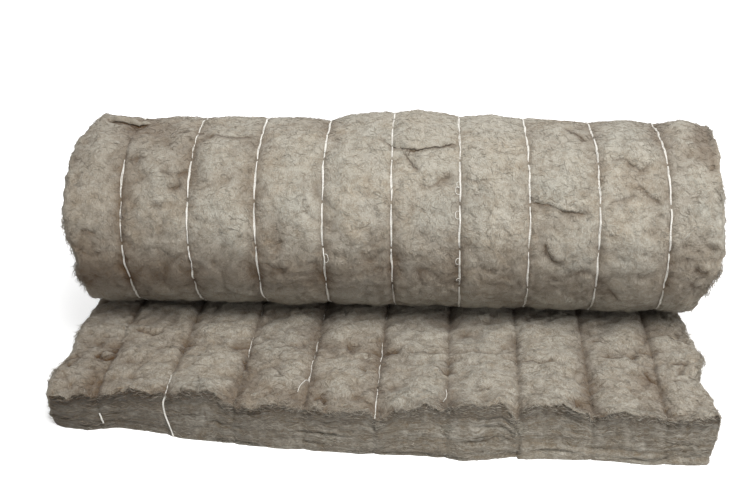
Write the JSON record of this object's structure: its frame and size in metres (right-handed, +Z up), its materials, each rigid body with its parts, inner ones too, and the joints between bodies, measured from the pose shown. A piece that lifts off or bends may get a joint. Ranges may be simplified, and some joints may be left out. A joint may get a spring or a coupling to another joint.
{
  "type": "insulation roll",
  "caption": "Mat of stitched mineral wool wound into a roll that lies on its own unrolled end; quilted thermal insulation stock.",
  "frame": {"origin": "middle of the footprint, on the floor", "axes": "+X along the roll's axis, -Y from the roll towards the cut end of the mat that lies on the floor, +Z up"},
  "size_m": [1.0134, 0.5602, 0.356],
  "materials": {
    "wool": "matt felted stone wool fibre, grey brown",
    "thread": "matt twisted glass yarn, off-white"
  },
  "bodies": {
    "root": {"wool_mat": "wool", "outer_thread_1": "thread", "outer_thread_2": "thread", "outer_thread_3": "thread", "outer_thread_4": "thread", "outer_thread_5": "thread", "outer_thread_6": "thread", "outer_thread_7": "thread", "outer_thread_8": "thread", "outer_thread_9": "thread", "inner_thread_1": "thread", "inner_thread_2": "thread", "inner_thread_3": "thread", "inner_thread_4": "thread", "inner_thread_5": "thread", "inner_thread_6": "thread", "inner_thread_7": "thread", "inner_thread_8": "thread", "inner_thread_9": "thread"}
  },
  "joints": []
}
